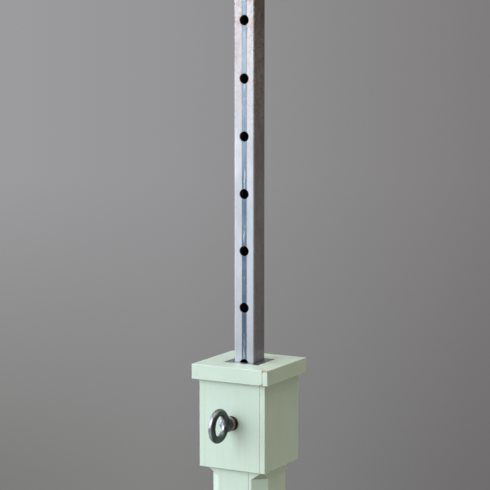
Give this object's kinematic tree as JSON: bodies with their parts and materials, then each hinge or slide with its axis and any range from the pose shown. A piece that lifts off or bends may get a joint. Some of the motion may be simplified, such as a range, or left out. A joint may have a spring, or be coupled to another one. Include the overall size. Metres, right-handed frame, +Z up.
{
  "type": "telescopic post",
  "caption": "Square painted wooden post with a boxed head, a perforated square steel tube sliding in it, and a ring bolt that screws into the tube's holes to lock the height.",
  "frame": {"origin": "on the floor, under the middle of the foot plate, on the tube's axis", "axes": "+Z up along the tube; -Y is the front, where the ring bolt is; +X to the right seen from the front"},
  "size_m": [0.16, 0.16, 0.9294],
  "materials": {
    "painted_wood": "pale green satin paint over wood",
    "bare_wood": "sawn, unpainted",
    "galvanised_tube": "galvanised, satin, with a scraped weld seam",
    "galvanised_plate": "hot-dip galvanised, dull",
    "weld_steel": "welded and coated with zinc paint",
    "guide_steel": "dull, rubbed",
    "dark_steel": "dark forged steel, satin",
    "worn_steel": "dull grey, worn",
    "rusted_steel": "brown with light rust",
    "nylon": "black, matt",
    "zinc_fastener": "zinc plated"
  },
  "bodies": {
    "post": {"foot_plate": "galvanised_plate", "foot_screws": "zinc_fastener", "foot_plug": "bare_wood", "post_left_board": "painted_wood", "post_right_board": "painted_wood", "post_front_board": "painted_wood", "post_back_board": "painted_wood", "head_left_panel": "painted_wood", "head_right_panel": "painted_wood", "head_front_panel": "painted_wood", "head_back_panel": "painted_wood", "collar_left_strip": "painted_wood", "collar_right_strip": "painted_wood", "collar_front_strip": "painted_wood", "collar_back_strip": "painted_wood", "head_pins": "zinc_fastener", "collar_pins": "zinc_fastener", "guide_plate": "guide_steel", "threaded_insert": "rusted_steel"},
    "tube": {"inner_tube": "galvanised_tube", "tube_glide": "nylon", "glide_pin": "zinc_fastener", "top_plate": "galvanised_plate", "top_weld": "weld_steel"},
    "washer": {"lock_washer": "worn_steel"},
    "bolt": {"eye_bolt": "dark_steel"}
  },
  "joints": [
    {"name": "tube_slide", "type": "slide", "parent": "post", "child": "tube", "axis": [0, 0, 1], "range_m": [-0.15, 0.15]},
    {"name": "lock_bolt_travel", "type": "slide", "parent": "post", "child": "washer", "axis": [0, 0.9976, -0.0698], "range_m": [-0.00625, 0.00375]},
    {"name": "lock_bolt_turn", "type": "hinge", "parent": "washer", "child": "bolt", "pos_m": [0, -0.0325, 0.4502], "axis": [0, 0.9976, -0.0698], "range_deg": [-1800, 1080]}
  ],
  "couplings": [
    {"joint": "lock_bolt_turn", "follows": "lock_bolt_travel", "rad_per_m": 5026.5}
  ]
}
